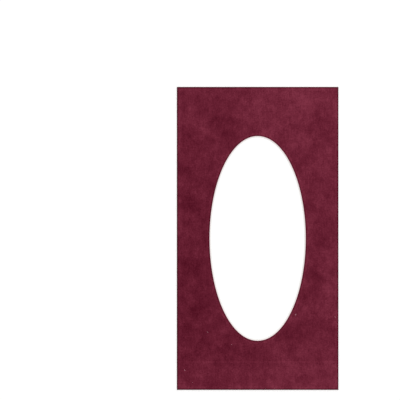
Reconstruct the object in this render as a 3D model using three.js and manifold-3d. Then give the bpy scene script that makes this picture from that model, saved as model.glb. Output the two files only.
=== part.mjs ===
// Oval picture mount: a sheet of suede-faced mat board with an oval window cut
// through it at a bevel, so that the board's white core shows as a thin rim.
// The mount lies face up. X runs across it, Y along its height and Z through
// its thickness. The origin is the middle of the back face, at the window's centre.
import * as THREE from 'three';
import { mergeVertices } from 'three/addons/utils/BufferGeometryUtils.js';
import Module from 'manifold-3d';

const inch = 25.4;

// Outside of the mount, made to drop into a frame's rebate.
const mountWidth = 8 * inch;
const mountHeight = 15 * inch;

// The board's two layers: white pulp board, and the suede bonded to its face.
const coreThickness = 1.7;
const suedeThickness = 0.3;

// The window as it is at the back face, where it meets the picture.
const sightWidth = 4.625 * inch;
const sightHeight = 10 * inch;

// Slope of the blade against the board, and how far it runs past each face.
const bevelAngleDeg = 45;
const bladeOverrun = 1;

// Half the number of straight facets that make up the oval.
const ovalCurveSegments = 96;

const suedeColour = new THREE.Color().setRGB(103 / 255, 33 / 255, 50 / 255, THREE.SRGBColorSpace);
const coreColour = new THREE.Color().setRGB(246 / 255, 243 / 255, 238 / 255, THREE.SRGBColorSpace);

const manifold = await Module();
manifold.setup();

// A closed geometry as a solid that can be cut.
function toSolid(geometry) {
  const bare = geometry.clone();
  bare.deleteAttribute('normal');
  bare.deleteAttribute('uv');
  const merged = mergeVertices(bare, 1e-4);
  const mesh = new manifold.Mesh({
    numProp: 3,
    vertProperties: merged.getAttribute('position').array,
    triVerts: new Uint32Array(merged.getIndex().array),
  });
  return new manifold.Manifold(mesh);
}

// A cut solid as a geometry with flat shading.
function toGeometry(solid) {
  const mesh = solid.getMesh();
  const geometry = new THREE.BufferGeometry();
  geometry.setAttribute('position', new THREE.BufferAttribute(mesh.vertProperties, 3));
  geometry.setIndex(new THREE.BufferAttribute(mesh.triVerts, 1));
  const faceted = geometry.toNonIndexed();
  faceted.computeVertexNormals();
  return faceted;
}

// A full sheet of one layer, before the window is cut, with its back on Z = 0.
function uncutSheet(thickness) {
  const sheet = new THREE.BoxGeometry(mountWidth, mountHeight, thickness);
  return toSolid(sheet.translate(0, 0, thickness / 2));
}

// The waste that the sloping blade frees as it goes once round the oval. The
// oval keeps the same slope all round, so each level of it is the sight oval
// moved out by an even distance, and not a scaled copy of it. Above the face,
// where it cuts nothing, the waste draws in again. backLevel is the height of a
// layer's back above the mount's back.
function windowWaste(backLevel) {
  const outwardPerRise = 1 / Math.tan(THREE.MathUtils.degToRad(bevelAngleDeg));
  const rise = coreThickness + suedeThickness + 2 * bladeOverrun;
  const sightOval = new THREE.Shape();
  sightOval.absellipse(0, 0, sightWidth / 2, sightHeight / 2, 0, 2 * Math.PI);
  const waste = new THREE.ExtrudeGeometry(sightOval, {
    depth: bladeOverrun,
    curveSegments: ovalCurveSegments,
    bevelEnabled: true,
    bevelSegments: 1,
    bevelThickness: rise,
    bevelSize: rise * outwardPerRise,
    bevelOffset: -bladeOverrun * outwardPerRise,
  });
  return toSolid(waste.translate(0, 0, rise - bladeOverrun - backLevel));
}

// One layer with its share of the bevelled window. Both layers are cut by the
// same pass of the blade, so their edges meet in one slope.
function cutLayer(name, thickness, backLevel, colour, roughness) {
  const solid = uncutSheet(thickness).subtract(windowWaste(backLevel));
  const material = new THREE.MeshStandardMaterial({ color: colour, roughness, metalness: 0 });
  const layer = new THREE.Mesh(toGeometry(solid), material);
  layer.name = name;
  layer.position.z = backLevel;
  return layer;
}

const ovalMount = new THREE.Group();
ovalMount.name = 'oval_picture_mount';
ovalMount.add(cutLayer('core_board', coreThickness, 0, coreColour, 0.9));
ovalMount.add(cutLayer('suede_facing', suedeThickness, coreThickness, suedeColour, 1));

export default ovalMount;
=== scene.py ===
import bpy
import math
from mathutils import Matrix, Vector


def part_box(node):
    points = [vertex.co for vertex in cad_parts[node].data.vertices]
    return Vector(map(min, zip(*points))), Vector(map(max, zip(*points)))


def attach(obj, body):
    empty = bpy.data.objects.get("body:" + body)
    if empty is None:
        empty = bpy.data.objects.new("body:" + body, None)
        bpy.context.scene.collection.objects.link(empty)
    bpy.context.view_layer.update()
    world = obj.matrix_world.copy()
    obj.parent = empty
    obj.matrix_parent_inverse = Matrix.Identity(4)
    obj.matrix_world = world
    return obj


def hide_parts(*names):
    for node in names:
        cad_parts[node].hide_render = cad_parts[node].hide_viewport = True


# An oval picture mount of suede-faced mat board, lying face up on a pale table.
# X runs across the mount, Y along its height and Z up through its thickness, all
# in metres from the middle of its back face.
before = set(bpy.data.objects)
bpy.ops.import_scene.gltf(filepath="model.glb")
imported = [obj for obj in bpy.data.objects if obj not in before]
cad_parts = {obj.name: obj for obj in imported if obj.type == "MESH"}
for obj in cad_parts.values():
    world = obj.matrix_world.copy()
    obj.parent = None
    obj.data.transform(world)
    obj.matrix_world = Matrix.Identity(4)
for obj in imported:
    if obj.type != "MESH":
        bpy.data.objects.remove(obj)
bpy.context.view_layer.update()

MM = 0.001
HALF_WIDTH, HALF_HEIGHT, FACE_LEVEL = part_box("suede_facing")[1]
CORE_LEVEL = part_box("core_board")[1].z

# Where the mount lies in the photograph, in its pixels, and how far off the camera is.
PHOTO_SIZE_PX = 400
MOUNT_HEIGHT_PX = 303.0
MOUNT_CENTRE_PX = (257.65, 238.4)
EYE_DISTANCE = 2.0

# How much light the mount gets from each source. Together they are the plain level, 1.
KEY_LEVEL = 0.13
FILL_LEVEL = 0.05
WORLD_LEVEL = 0.82

# The table's own white, and what is added to it where it is seen.
TABLE_WHITE = 0.82
TABLE_LIFT = 0.24

# How far out the blade's slope takes the window's edge, for each unit of height.
BEVEL_PER_RISE = 1.0

# Spacing of the layers' mesh along the outer edge, and the suede's rows across the border.
# Both sides of the mount are whole numbers of the spacing, so that each corner is met.
COLUMN_SPACING = 1.27 * MM
BORDER_ROWS = 40

# How far the suede's face rises and falls, and the size of its waves.
NAP_RELIEF = 0.05 * MM
WAVE_SIZE = 8 * MM

# How softly the cut edges turn over. A corner sharper than the first angle is rounded,
# and one that is still sharper than the second shows as a crease.
SUEDE_EDGE_ROUND = 0.11 * MM
CORE_EDGE_ROUND = 0.04 * MM
ROUND_SEGMENTS = 3
CORNER_ANGLE = math.radians(30)
CREASE_ANGLE = math.radians(40)


class Field:
    """A socket's value. Arithmetic on it adds Math nodes to its tree."""

    def __init__(self, bench, socket):
        self.bench = bench
        self.socket = socket

    def __add__(self, other):
        return self.bench.math("ADD", self, other)

    def __sub__(self, other):
        return self.bench.math("SUBTRACT", self, other)

    def __mul__(self, other):
        return self.bench.math("MULTIPLY", self, other)

    def __truediv__(self, other):
        return self.bench.math("DIVIDE", self, other)

    def __rsub__(self, other):
        return self.bench.math("SUBTRACT", other, self)

    def __rtruediv__(self, other):
        return self.bench.math("DIVIDE", other, self)

    __radd__ = __add__
    __rmul__ = __mul__

    def beside(self, name):
        """Another output of the same node."""
        return Field(self.bench, self.socket.node.outputs[name])


class Bench:
    """Puts nodes into one shader or geometry tree."""

    def __init__(self, tree):
        self.tree = tree

    def add(self, kind, settings, values, result=0):
        """Adds a node: its settings first, then its sockets. Gives one output."""
        node = self.tree.nodes.new(kind)
        for name, setting in settings.items():
            if name == "stops":
                set_stops(node.color_ramp, setting)
            else:
                setattr(node, name, setting)
        for key, value in values.items():
            socket = pick(node.inputs, key)
            if isinstance(value, Field):
                self.tree.links.new(value.socket, socket)
            else:
                socket.default_value = value
        return Field(self, pick(node.outputs, result)) if node.outputs else None

    def math(self, operation, *values, clamp=False):
        settings = {"operation": operation, "use_clamp": clamp}
        return self.add("ShaderNodeMath", settings, dict(enumerate(values)))

    def vector(self, operation, *values, result=0):
        settings = {"operation": operation}
        return self.add("ShaderNodeVectorMath", settings, dict(enumerate(values)), result)

    def combine(self, x, y, z):
        return self.add("ShaderNodeCombineXYZ", {}, {"X": x, "Y": y, "Z": z})

    def split(self, vector):
        """A vector's three parts."""
        x = self.add("ShaderNodeSeparateXYZ", {}, {0: vector}, "X")
        return x, x.beside("Y"), x.beside("Z")

    def clamp(self, value):
        """The value, kept between 0 and 1."""
        return self.math("ADD", value, 0.0, clamp=True)

    def bell(self, distance, width):
        """1 where the distance is 0, falling off smoothly over the width."""
        return self.math("EXPONENT", distance * distance * (-1 / width**2))

    def noise(self, place, size, detail=2.0, roughness=0.5):
        """Smooth noise about 0, whose lumps are about that size in metres."""
        values = {"Vector": place, "Scale": 1 / size, "Detail": detail, "Roughness": roughness}
        return self.add("ShaderNodeTexNoise", {}, values, "Fac") - 0.5

    def ramp(self, tone, stops):
        """The colour for a tone from 0 to 1, in steps that run into each other."""
        return self.add("ShaderNodeValToRGB", {"stops": stops}, {"Fac": tone}, "Color")

    def mixed(self, share, under, over):
        """One colour with that share of another over it."""
        values = {"Factor_Float": share, "A_Color": under, "B_Color": over}
        return self.add("ShaderNodeMix", {"data_type": "RGBA"}, values, "Result_Color")


def pick(sockets, key):
    """A socket by its number, its identifier or its name."""
    if isinstance(key, int):
        return sockets[key]
    for socket in sockets:
        if socket.identifier == key:
            return socket
    return sockets[key]


def set_stops(ramp, stops):
    while len(ramp.elements) < len(stops):
        ramp.elements.new(1.0)
    for element, (position, colour) in zip(ramp.elements, stops):
        element.position = position
        element.color = colour


def paint(red, green, blue):
    """A colour given as it looks on screen, from 0 to 255, in linear light."""
    levels = [value / 255 for value in (red, green, blue)]
    linear = [v / 12.92 if v <= 0.04045 else ((v + 0.055) / 1.055) ** 2.4 for v in levels]
    return (*linear, 1.0)


def window_half_sizes():
    """Half the window's width and height where it meets the back of the board."""
    low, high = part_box("core_board")
    hair = 0.01 * MM
    corners = [vertex.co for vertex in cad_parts["core_board"].data.vertices]
    on_back = [corner for corner in corners if corner.z < low.z + hair]
    rim = [corner for corner in on_back if abs(corner.x) < high.x - hair]
    return max(corner.x for corner in rim), max(corner.y for corner in rim)


# The camera and the studio

def photo_camera():
    """Looks straight down from where the whole photograph's middle was."""
    metres_per_pixel = 2 * HALF_HEIGHT / MOUNT_HEIGHT_PX
    data = bpy.data.cameras.new("photo_camera")
    data.sensor_width = 36.0
    data.lens = data.sensor_width * EYE_DISTANCE / (PHOTO_SIZE_PX * metres_per_pixel)
    data.clip_start = 0.01
    camera = bpy.data.objects.new("photo_camera", data)
    camera.location.x = (PHOTO_SIZE_PX / 2 - MOUNT_CENTRE_PX[0]) * metres_per_pixel
    camera.location.y = (MOUNT_CENTRE_PX[1] - PHOTO_SIZE_PX / 2) * metres_per_pixel
    camera.location.z = FACE_LEVEL + EYE_DISTANCE
    bpy.context.scene.collection.objects.link(camera)
    bpy.context.scene.camera = camera


def seen_directly(bench):
    """1 for rays that show the background: from the camera, or by way of gloss or glass."""
    straight = bench.add("ShaderNodeLightPath", {}, {}, "Is Camera Ray")
    glossy = straight.beside("Is Glossy Ray")
    through = straight.beside("Is Transmission Ray")
    return bench.clamp(straight + glossy + through)


def softbox(name, place, size, level):
    """A square lamp that lights the middle of the table to that share of the plain level."""
    distance = math.dist(place, (0, 0, 0))
    slant = place[2] / distance
    data = bpy.data.lights.new(name, "AREA")
    data.shape = "SQUARE"
    data.size = size
    data.energy = level * math.pi**2 * distance**2 / slant
    lamp = bpy.data.objects.new(name, data)
    lamp.location = place
    lamp.rotation_euler = lamp.location.to_track_quat("Z", "Y").to_euler()
    bpy.context.scene.collection.objects.link(lamp)


def studio_light():
    """Two soft lamps, and a pale world that is white where it is seen."""
    softbox("key_softbox", place=(1.0, 1.2, 1.6), size=1.2, level=KEY_LEVEL)
    softbox("fill_softbox", place=(-1.4, -0.8, 1.7), size=1.4, level=FILL_LEVEL)
    world = bpy.data.worlds.new("studio")
    world.use_nodes = True
    bench = Bench(world.node_tree)
    background = world.node_tree.nodes["Background"]
    background.inputs["Color"].default_value = (1, 1, 1, 1)
    strength = seen_directly(bench) * (1 - WORLD_LEVEL) + WORLD_LEVEL
    world.node_tree.links.new(strength.socket, background.inputs["Strength"])
    bpy.context.scene.world = world
    bpy.context.scene.view_settings.view_transform = "Standard"


def table_finish():
    """Matt white, lifted to paper white where it is seen, so that only shadow shows on it."""
    material = bpy.data.materials.new("table_white")
    material.use_nodes = True
    tree = material.node_tree
    tree.nodes.clear()
    bench = Bench(tree)
    white = (TABLE_WHITE, TABLE_WHITE, TABLE_WHITE, 1)
    matt = bench.add("ShaderNodeBsdfDiffuse", {}, {"Color": white})
    lift = bench.add("ShaderNodeEmission", {}, {"Strength": seen_directly(bench) * TABLE_LIFT})
    whole = bench.add("ShaderNodeAddShader", {}, {0: matt, 1: lift})
    bench.add("ShaderNodeOutputMaterial", {}, {"Surface": whole})
    return material


def table():
    """A wide flat table, a hair's breadth below the mount's back."""
    reach = 4.0
    level = -0.1 * MM
    corners = [(-reach, -reach), (reach, -reach), (reach, reach), (-reach, reach)]
    mesh = bpy.data.meshes.new("table")
    mesh.from_pydata([(x, y, level) for x, y in corners], [], [(0, 1, 2, 3)])
    mesh.materials.append(table_finish())
    top = bpy.data.objects.new("table", mesh)
    bpy.context.scene.collection.objects.link(top)


# The finishes

# Where a hand has brushed the suede lighter or darker: x and y in millimetres from
# the mount's centre, the patch's size, and how much lighter or darker it looks.
BRUSHED_PATCHES_MM = [
    (55, 176, 17, 1.2),
    (13, 158, 24, 0.9),
    (20, 128, 13, 1.4),
    (91, 105, 15, 0.5),
    (83, 58, 11, 0.6),
    (65, 20, 11, 2.2),
    (86, -30, 13, 0.8),
    (88, -66, 13, 0.5),
    (55, -151, 15, 1.3),
    (21, -182, 13, 2.1),
    (87, -166, 17, 1.0),
    (97, 68, 9, 0.7),
    (-93, -181, 11, 0.8),
    (-67, -162, 10, 0.6),
    (-60, -55, 10, 1.6),
    (-97, 24, 13, 2.2),
    (-88, -3, 10, 0.8),
    (-70, 89, 11, 1.1),
    (-80, 147, 13, 1.4),
    (-43, 136, 18, -1.5),
    (-42, 106, 10, -0.7),
    (-44, 186, 10, -0.8),
    (-16, 184, 10, -1.0),
    (27, 188, 9, -1.0),
    (42, 148, 8, -0.9),
    (74, 163, 13, -1.5),
    (97, 178, 11, -1.1),
    (79, 141, 15, -0.7),
    (50, 100, 15, -1.2),
    (72, 60, 10, -0.8),
    (85, 8, 10, -0.8),
    (75, -49, 11, -0.9),
    (50, -106, 15, -1.1),
    (85, -138, 14, -0.9),
    (46, -172, 8, -1.6),
    (-89, 82, 12, -0.6),
    (-77, 51, 13, -0.8),
    (-77, -33, 14, -0.6),
    (-76, -93, 14, -0.4),
    (-92, -108, 16, -1.6),
    (-64, -135, 11, -0.6),
    (-12, -146, 18, -0.8),
]

# What a patch of strength 1 does to the tone. Noise pushes its outline about: how far,
# and how large the noise's lumps are.
PATCH_TONE = 0.36
PATCH_SWAY = 24 * MM
SWAY_LUMP = 14 * MM

# Bands in the nap: where the band's middle is, its width, and how much lighter or darker
# it looks. Two are lines where a straight edge has pressed the nap. The others follow the
# cut edges, by the distance in from them: flattened at the edge, and rubbed lighter just
# inside it, a little further in along the outside than at the window.
LINE_ACROSS = (-155.3 * MM, 0.9 * MM, 0.45)
LINE_UPRIGHT = (-96.6 * MM, 0.8 * MM, 0.25)
FLATTENED_OUTSIDE = (0.0, 1.5 * MM, -1.9)
FLATTENED_AT_WINDOW = (0.0, 1.0 * MM, -1.6)
RUBBED_LIGHTER = (2.4 * MM, 1.2 * MM, 0.35)
FURTHER_IN_OUTSIDE = 0.5 * MM

# The face below the line across is a little lighter, after a short step.
STEP_LENGTH = 2 * MM
STEP_TONE = 0.1

# The span of tones from the suede's darkest colour to its lightest.
TONE_SPAN = 3

# How far below the face the suede's cut side starts, and how softly.
CUT_DEPTH = 0.08 * MM
CUT_FADE = 0.05 * MM

# How far down the core's cut side a painted pink bounce light from the suede reaches, and how
# much.
BOUNCE_TINT_DEPTH = 0.6 * MM
BOUNCE_TINT_SHARE = 0.6


def finish_with(name):
    """An empty material, its bench and the place of each point on the piece."""
    material = bpy.data.materials.new(name)
    material.use_nodes = True
    material.node_tree.nodes.clear()
    bench = Bench(material.node_tree)
    place = bench.add("ShaderNodeTexCoord", {}, {}, "Object")
    return material, bench, place


def close_finish(bench, values):
    surface = bench.add("ShaderNodeBsdfPrincipled", {}, values)
    bench.add("ShaderNodeOutputMaterial", {}, {"Surface": surface})


def bumped(bench, height, depth, strength):
    values = {"Height": height, "Distance": depth, "Strength": strength}
    return bench.add("ShaderNodeBump", {}, values, "Normal")


def brushed_patches(bench, place):
    """The light and dark clouds of the nap, with ragged outlines."""
    values = {"Vector": place, "Scale": 1 / SWAY_LUMP, "Detail": 3.0}
    sway = bench.add("ShaderNodeTexNoise", {}, values, "Color")
    sway = bench.vector("SUBTRACT", sway, (0.5, 0.5, 0.5))
    sway = bench.vector("MULTIPLY", sway, (PATCH_SWAY, PATCH_SWAY, 0))
    ragged = bench.vector("ADD", place, sway)
    total = 0.0
    for x, y, size, strength in BRUSHED_PATCHES_MM:
        middle = (x * MM, y * MM, FACE_LEVEL)
        distance = bench.vector("DISTANCE", ragged, middle, result="Value")
        total = total + strength * bench.bell(distance, size * MM)
    return total * PATCH_TONE


def past_window(bench, x, y):
    """How far a point of the face lies outside the window's upper edge."""
    sight_half_width, sight_half_height = window_half_sizes()
    half_width = sight_half_width + FACE_LEVEL * BEVEL_PER_RISE
    half_height = sight_half_height + FACE_LEVEL * BEVEL_PER_RISE
    across = x / half_width
    up = y / half_height
    reach = bench.math("SQRT", across * across + up * up)
    slope_x = across / half_width
    slope_y = up / half_height
    steepness = bench.math("SQRT", slope_x * slope_x + slope_y * slope_y)
    return (reach - 1) * reach / steepness


def band(bench, distance, shape):
    """One of the bands in the nap, given above."""
    middle, width, tone = shape
    return bench.bell(distance - middle, width) * tone


def pressed_marks(bench, x, y):
    """The marks left in the nap: two faint lines, and the bands along the cut edges."""
    lines = band(bench, y, LINE_ACROSS) + band(bench, x, LINE_UPRIGHT)
    below = bench.clamp((LINE_ACROSS[0] - y) / STEP_LENGTH) * STEP_TONE
    inset_x = HALF_WIDTH - bench.math("ABSOLUTE", x)
    inset_y = HALF_HEIGHT - bench.math("ABSOLUTE", y)
    from_outside = bench.math("MINIMUM", inset_x, inset_y)
    from_window = past_window(bench, x, y)
    outer = band(bench, from_outside, FLATTENED_OUTSIDE)
    inner = band(bench, from_window, FLATTENED_AT_WINDOW)
    inset = bench.math("MINIMUM", from_outside - FURTHER_IN_OUTSIDE, from_window)
    return lines + below + outer + inner + band(bench, inset, RUBBED_LIGHTER)


def painted_light_gradient(x, y):
    """Painted light over the face as a whole: lighter to the right and towards both ends."""
    across = x / HALF_WIDTH
    up = y / HALF_HEIGHT
    return across * 0.33 + up * 0.17 + up * up * 0.45 - 0.25


def nap_strokes(bench, place):
    """Faint strokes that run up the face, turned a little off upright."""
    values = {"Vector": place, "Rotation": (0, 0, 0.12), "Scale": (1, 0.2, 1)}
    leaned = bench.add("ShaderNodeMapping", {}, values)
    return bench.noise(leaned, 1.5 * MM, detail=1.0)


def nap_pile(bench, place):
    """Short fibres that lie mostly down the mount's height, each bending its own way."""
    bend = bench.noise(place, 3 * MM) * (2.4 * MM)
    x, y, z = bench.split(place)
    combed = bench.combine(x + bend, (y + bend) * 0.3, z * 0.3)
    return bench.noise(combed, 0.26 * MM, roughness=0.6)


def suede_finish():
    """Burgundy suede: brushed clouds, mottling, painted light across the face and a fine fibre
    grain.
    """
    material, bench, place = finish_with("burgundy_suede")
    x, y, z = bench.split(place)
    clouds = bench.noise(place, 36 * MM) * 1.5
    mottling = bench.noise(place, 16 * MM, roughness=0.55) * 2.4
    lumps = bench.noise(place, 5 * MM, detail=1.0) * 0.9
    grain = bench.noise(place, 1.8 * MM, detail=1.0) * 2.0
    strokes = nap_strokes(bench, place) * 1.2
    pile = nap_pile(bench, place)
    # The tone includes painted light across the whole face, lighter to the right and at both
    # ends.
    tone = painted_light_gradient(x, y) + brushed_patches(bench, place) + pressed_marks(bench, x, y)
    tone = tone + clouds + mottling + lumps + grain + strokes + pile * 3.2
    stops = [
        (0.0, paint(78, 12, 30)),
        (0.5, paint(103, 31, 49)),
        (1.0, paint(130, 51, 70)),
    ]
    colour = bench.ramp(tone / TONE_SPAN + 0.5, stops)
    cut = bench.clamp((FACE_LEVEL - CUT_DEPTH - z) / CUT_FADE)
    height = grain * 0.3 + strokes * 0.2 + pile
    values = {
        "Base Color": bench.mixed(cut, colour, paint(118, 30, 54)),
        "Roughness": 0.95,
        "Specular IOR Level": 0.04,
        "Sheen Weight": 0.2,
        "Sheen Roughness": 0.4,
        "Sheen Tint": paint(190, 120, 140),
        "Normal": bumped(bench, height, depth=0.12 * MM, strength=0.7),
    }
    close_finish(bench, values)
    return material


def core_finish():
    """White pulp board, its plies just showing where it is cut, with painted pink bounce light
    from the suede at the top.
    """
    material, bench, place = finish_with("white_pulp_board")
    x, y, z = bench.split(place)
    layered = bench.combine(x * 0.05, y * 0.05, z)
    strata = bench.noise(layered, 0.09 * MM)
    pulp = bench.noise(place, 0.7 * MM, detail=3.0, roughness=0.6)
    tone = bench.clamp(0.6 + strata * 0.5 + pulp * 0.8)
    colour = bench.ramp(tone, [(0.0, paint(238, 234, 229)), (1.0, paint(252, 250, 248))])
    # Painted bounce light: the core's top is tinted pink, as if lit by light off the suede.
    painted_bounce_tint = bench.clamp((z - CORE_LEVEL + BOUNCE_TINT_DEPTH) / BOUNCE_TINT_DEPTH) * BOUNCE_TINT_SHARE
    values = {
        "Base Color": bench.mixed(painted_bounce_tint, colour, paint(222, 156, 176)),
        "Roughness": 0.85,
        "Specular IOR Level": 0.25,
        "Normal": bumped(bench, strata + pulp, depth=0.03 * MM, strength=0.5),
    }
    close_finish(bench, values)
    return material


def fibre_finish(name, dark, light):
    """Loose fibres, each a little lighter or darker than the next."""
    material, bench, place = finish_with(name)
    tone = bench.clamp(bench.noise(place, 1.5 * MM, detail=0.0) * 2.0 + 0.5)
    colour = bench.ramp(tone, [(0.0, dark), (1.0, light)])
    close_finish(bench, {"Base Color": colour, "Roughness": 0.8, "Specular IOR Level": 0.1})
    return material


# The mount's two layers

def start_recipe(name, sizes):
    """A geometry tree with one named input for each size, and its bench."""
    tree = bpy.data.node_groups.new(name, "GeometryNodeTree")
    tree.interface.new_socket("Geometry", in_out="INPUT", socket_type="NodeSocketGeometry")
    for label, value in sizes.items():
        kind = "NodeSocketFloat"
        if isinstance(value, int):
            kind = "NodeSocketInt"
        if isinstance(value, tuple):
            kind = "NodeSocketVector"
        tree.interface.new_socket(label, in_out="INPUT", socket_type=kind)
    tree.interface.new_socket("Material", in_out="INPUT", socket_type="NodeSocketMaterial")
    tree.interface.new_socket("Geometry", in_out="OUTPUT", socket_type="NodeSocketGeometry")
    given = tree.nodes.new("NodeGroupInput")
    bench = Bench(tree)
    return bench, {socket.name: Field(bench, socket) for socket in given.outputs if socket.name}


def end_recipe(bench, shape, material):
    """Realizes the shape, gives it its material and ends the tree."""
    real = bench.add("GeometryNodeRealizeInstances", {}, {"Geometry": shape})
    dressed = bench.add("GeometryNodeSetMaterial", {}, {"Geometry": real, "Material": material})
    bench.add("NodeGroupOutput", {}, {"Geometry": dressed})
    return bench.tree


def follow_recipe(name, tree, start, sizes, material):
    """Runs a geometry tree over the start mesh and keeps the result as a plain piece."""
    worker = bpy.data.objects.new(name + "_worker", start)
    bpy.context.scene.collection.objects.link(worker)
    modifier = worker.modifiers.new("recipe", "NODES")
    modifier.node_group = tree
    given = dict(sizes, Material=material)
    for socket in tree.interface.items_tree:
        if socket.in_out == "INPUT" and socket.name in given:
            modifier[socket.identifier] = given[socket.name]
    depsgraph = bpy.context.evaluated_depsgraph_get()
    shaped = worker.evaluated_get(depsgraph)
    mesh = bpy.data.meshes.new_from_object(shaped, depsgraph=depsgraph)
    mesh.name = name
    mesh.materials.clear()
    mesh.materials.append(material)
    mesh.polygons.foreach_set("material_index", [0] * len(mesh.polygons))
    bpy.data.objects.remove(worker)
    piece = bpy.data.objects.new(name, mesh)
    bpy.context.scene.collection.objects.link(piece)
    return piece


def edge_point(bench, step, half_width, half_height):
    """A point that goes once round the outside, from step 0 to 1, starting low on the right."""
    width = half_width * 2
    height = half_height * 2
    gone = step * 2 * (width + height)

    def stretch(start, length):
        return bench.math("MINIMUM", bench.math("MAXIMUM", gone - start, 0.0), length)

    x = half_width - stretch(height, width) + stretch(height * 2 + width, width)
    y = stretch(0.0, height) - half_height - stretch(height + width, height)
    return x, y


def window_point(bench, x, y, sight_width, sight_height, outward):
    """The window's edge on the line from the centre through x, y, moved outward by that much."""
    across = x / sight_width
    up = y / sight_height
    shrink = 1 / bench.math("SQRT", across * across + up * up)
    edge_x = x * shrink
    edge_y = y * shrink
    slope_x = edge_x / (sight_width * sight_width)
    slope_y = edge_y / (sight_height * sight_height)
    length = bench.math("SQRT", slope_x * slope_x + slope_y * slope_y)
    return edge_x + slope_x / length * outward, edge_y + slope_y / length * outward


def layer_recipe(sizes):
    """One layer of the board: a closed ring between the bevelled window and the outside.

    A flat grid is rolled up. Its length goes round the mount, and its width goes over
    the face from the window to the outside, down the edge, back under and up the bevel.
    """
    bench, given = start_recipe("board_layer", sizes)
    rows = given["Face Rows"] + given["Back Rows"] + given["Edge Rows"] * 2
    counts = {"Vertices X": given["Columns"] + 1, "Vertices Y": rows + 1}
    unit = {"Size X": 1.0, "Size Y": 1.0}
    grid = bench.add("GeometryNodeMeshGrid", {}, dict(counts, **unit), "Mesh")
    along, over = bench.split(bench.add("GeometryNodeInputPosition", {}, {}))[:2]
    row = (over + 0.5) * rows

    def share(start, length):
        return bench.clamp((row - start) / length)

    edge_start = given["Face Rows"]
    back_start = edge_start + given["Edge Rows"]
    bevel_start = back_start + given["Back Rows"]
    outness = share(0.0, given["Face Rows"]) - share(back_start, given["Back Rows"])
    rise = 1 - share(edge_start, given["Edge Rows"]) + share(bevel_start, given["Edge Rows"])
    level = given["Back Level"] + rise * (given["Face Level"] - given["Back Level"])
    edge_x, edge_y = edge_point(bench, along + 0.5, given["Half Width"], given["Half Height"])
    sight = (given["Sight Half Width"], given["Sight Half Height"])
    window_x, window_y = window_point(bench, edge_x, edge_y, *sight, level * BEVEL_PER_RISE)
    x = edge_x * outness + window_x * (1 - outness)
    y = edge_y * outness + window_y * (1 - outness)

    # The relief is on the face alone, where the rise is 1. Its slope at each edge of the
    # face is so steep that only the edge itself, where outness is 0 or 1, stays level.
    on_face = bench.math("GREATER_THAN", rise, 0.99)
    inside = bench.clamp(outness * 100) * bench.clamp((1 - outness) * 100)
    flat = bench.combine(x, y, level)
    waves = bench.noise(flat, WAVE_SIZE, roughness=0.6) * 2 * given["Relief"]
    place = bench.combine(x, y, level + waves * on_face * inside)
    shaped = bench.add("GeometryNodeSetPosition", {}, {"Geometry": grid, "Position": place})
    weld = {"Geometry": shaped, "Distance": 0.001 * MM}
    closed = bench.add("GeometryNodeMergeByDistance", {}, weld)
    outward = bench.add("GeometryNodeFlipFaces", {}, {"Mesh": closed})
    return end_recipe(bench, outward, given["Material"])


def soften(piece, width):
    """Rounds the cut edges and keeps the result in the piece's own mesh."""
    bevel = piece.modifiers.new("cut_edges", "BEVEL")
    bevel.width = width
    bevel.segments = ROUND_SEGMENTS
    bevel.limit_method = "ANGLE"
    bevel.angle_limit = CORNER_ANGLE
    depsgraph = bpy.context.evaluated_depsgraph_get()
    shaped = piece.evaluated_get(depsgraph)
    mesh = bpy.data.meshes.new_from_object(shaped, depsgraph=depsgraph)
    piece.modifiers.clear()
    piece.data = mesh
    mesh.shade_smooth()
    mesh.set_sharp_from_angle(angle=CREASE_ANGLE)


def board_layer(name, face_rows, edge_rows, relief, edge_round, material):
    """One layer in place of its plain CAD solid."""
    low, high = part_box(name)
    sight_half_width, sight_half_height = window_half_sizes()
    sizes = {
        "Half Width": high.x,
        "Half Height": high.y,
        "Sight Half Width": sight_half_width,
        "Sight Half Height": sight_half_height,
        "Back Level": low.z,
        "Face Level": high.z,
        "Relief": relief,
        "Columns": 4 * round((high.x + high.y) / COLUMN_SPACING),
        "Face Rows": face_rows,
        "Edge Rows": edge_rows,
        "Back Rows": 1,
    }
    start = bpy.data.meshes.new(name + "_start")
    piece = follow_recipe(name + "_sheet", layer_recipe(sizes), start, sizes, material)
    soften(piece, edge_round)
    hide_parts(name)
    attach(piece, "root")
    return piece


# The loose fibres

def fibre(bench, length, thickness):
    """One bent hair that stands on the origin and thins towards its tip."""
    values = {
        "Resolution": 4,
        "Start": (0, 0, 0),
        "Middle": bench.combine(0.0, length * 0.12, length * 0.5),
        "End": bench.combine(length * 0.15, 0.0, length),
    }
    line = bench.add("GeometryNodeCurveQuadraticBezier", {}, values)
    along = bench.add("GeometryNodeSplineParameter", {}, {}, "Factor")
    values = {"Curve": line, "Radius": 1 - along * 0.7}
    tapered = bench.add("GeometryNodeSetCurveRadius", {}, values)
    values = {"Resolution": 3, "Radius": thickness * 0.5}
    section = bench.add("GeometryNodeCurvePrimitiveCircle", {}, values)
    values = {"Curve": tapered, "Profile Curve": section, "Fill Caps": True}
    return bench.add("GeometryNodeCurveToMesh", {}, values)


def stand_on(bench, spots, direction, scale, given):
    """A hair on each spot, pointing its own way and with its own size."""
    turned = bench.add("FunctionNodeAlignRotationToVector", {"axis": "Z"}, {"Vector": direction})
    values = {
        "Points": spots,
        "Instance": fibre(bench, given["Length"], given["Thickness"]),
        "Rotation": turned,
        "Scale": scale,
    }
    return bench.add("GeometryNodeInstanceOnPoints", {}, values)


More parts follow.
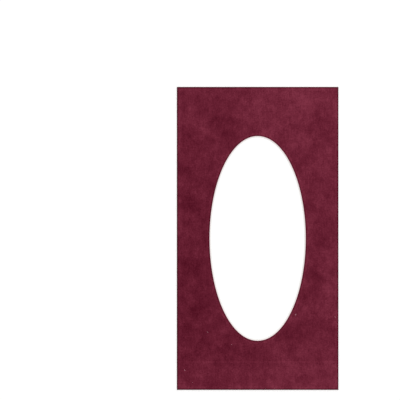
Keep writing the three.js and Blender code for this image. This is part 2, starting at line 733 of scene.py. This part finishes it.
def fibre_recipe(sizes):
    """Hairs scattered over those faces of a mesh whose normals rise between two heights."""
    bench, given = start_recipe("suede_fibres", sizes)
    normal = bench.add("GeometryNodeInputNormal", {}, {})
    steepness = bench.split(normal)[2]
    above = bench.math("GREATER_THAN", steepness, given["Lowest Normal"])
    below = bench.math("LESS_THAN", steepness, given["Highest Normal"])
    settings = {"distribute_method": "RANDOM"}
    values = {
        "Mesh": given["Geometry"],
        "Selection": above * below,
        "Density": given["Density"],
        "Seed": given["Seed"],
    }
    spots = bench.add("GeometryNodeDistributePointsOnFaces", settings, values, "Points")
    values = {"Min": (-1, -1, -1), "Max": (1, 1, 1), "Seed": given["Seed"] + 1}
    scatter = bench.add("FunctionNodeRandomValue", {"data_type": "FLOAT_VECTOR"}, values, "Value")
    lean = bench.vector("MULTIPLY", scatter, given["Spread"])
    lean = bench.vector("ADD", lean, given["Lay"])
    upright = bench.vector("MULTIPLY", spots.beside("Normal"), given["Uprightness"])
    direction = bench.vector("ADD", lean, upright)
    values = {"Min_001": 0.5, "Max_001": 1.4, "Seed": given["Seed"] + 2}
    scale = bench.add("FunctionNodeRandomValue", {"data_type": "FLOAT"}, values, "Value_001")
    hairs = stand_on(bench, spots, direction, scale, given)
    return end_recipe(bench, hairs, given["Material"])


def fibres(name, carrier, sizes, material):
    """Hairs that stand on the carrier's faces."""
    piece = follow_recipe(name, fibre_recipe(sizes), carrier.data.copy(), sizes, material)
    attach(piece, "root")


def cut_edge_fibres(facing):
    """The short fuzz that a blade leaves along the suede's cut edges."""
    sizes = {
        "Density": 6.0e6,
        "Length": 0.3 * MM,
        "Thickness": 0.04 * MM,
        "Lowest Normal": -0.5,
        "Highest Normal": 0.8,
        "Uprightness": (1.0, 1.0, 1.0),
        "Lay": (0.0, 0.0, 0.5),
        "Spread": (0.7, 0.7, 0.5),
        "Seed": 11,
    }
    material = fibre_finish("edge_fuzz", paint(104, 28, 48), paint(168, 70, 98))
    fibres("cut_edge_fibres", facing, sizes, material)


def nap_fibres(facing):
    """Longer hairs that lie on the face, brushed down its height."""
    sizes = {
        "Density": 1.3e5,
        "Length": 0.55 * MM,
        "Thickness": 0.035 * MM,
        "Lowest Normal": 0.97,
        "Highest Normal": 2.0,
        "Uprightness": (0.2, 0.2, 0.2),
        "Lay": (0.1, -0.5, 0.0),
        "Spread": (0.8, 0.7, 0.05),
        "Seed": 23,
    }
    material = fibre_finish("nap_hairs", paint(106, 36, 54), paint(146, 72, 90))
    fibres("nap_fibres", facing, sizes, material)


# Bits of pale lint caught on the face: x and y in millimetres from the mount's
# centre, and how large the tangle is.
LINT_MM = [
    (47.8, -95.9, 1.5),
    (97.3, -99.0, 1.1),
    (-63.1, -118.2, 1.0),
    (-91.5, -165.3, 1.0),
    (-82.0, -180.9, 0.8),
    (-32.9, -133.7, 0.8),
]


def lint_recipe(sizes):
    """A small tangle of hairs on each vertex of a mesh, larger where its size says so."""
    bench, given = start_recipe("lint", sizes)
    spots = bench.add("GeometryNodeMeshToPoints", {}, {"Mesh": given["Geometry"]})
    values = {"Geometry": spots, "Amount": given["Hairs"]}
    spots = bench.add("GeometryNodeDuplicateElements", {"domain": "POINT"}, values)
    values = {"Min": (-1, -1.6, -0.1), "Max": (1, 1.6, 0.35), "Seed": given["Seed"]}
    lean = bench.add("FunctionNodeRandomValue", {"data_type": "FLOAT_VECTOR"}, values, "Value")
    size = bench.add("GeometryNodeInputNamedAttribute", {"data_type": "FLOAT"}, {"Name": "size"})
    hairs = stand_on(bench, spots, lean, size, given)
    return end_recipe(bench, hairs, given["Material"])


def lint():
    """The lint's specks, a hair's breadth above the face."""
    level = FACE_LEVEL + 0.03 * MM
    start = bpy.data.meshes.new("lint_spots")
    start.from_pydata([(x * MM, y * MM, level) for x, y, size in LINT_MM], [], [])
    sizes_of = start.attributes.new("size", "FLOAT", "POINT")
    sizes_of.data.foreach_set("value", [size for x, y, size in LINT_MM])
    sizes = {"Hairs": 12, "Length": 0.9 * MM, "Thickness": 0.09 * MM, "Seed": 5}
    material = fibre_finish("pale_lint", paint(222, 150, 168), paint(240, 188, 200))
    piece = follow_recipe("lint_specks", lint_recipe(sizes), start, sizes, material)
    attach(piece, "root")


photo_camera()
studio_light()
table()
board_layer(
    "core_board",
    face_rows=1,
    edge_rows=4,
    relief=0.0,
    edge_round=CORE_EDGE_ROUND,
    material=core_finish(),
)
suede_sheet = board_layer(
    "suede_facing",
    face_rows=BORDER_ROWS,
    edge_rows=2,
    relief=NAP_RELIEF,
    edge_round=SUEDE_EDGE_ROUND,
    material=suede_finish(),
)
cut_edge_fibres(suede_sheet)
nap_fibres(suede_sheet)
lint()
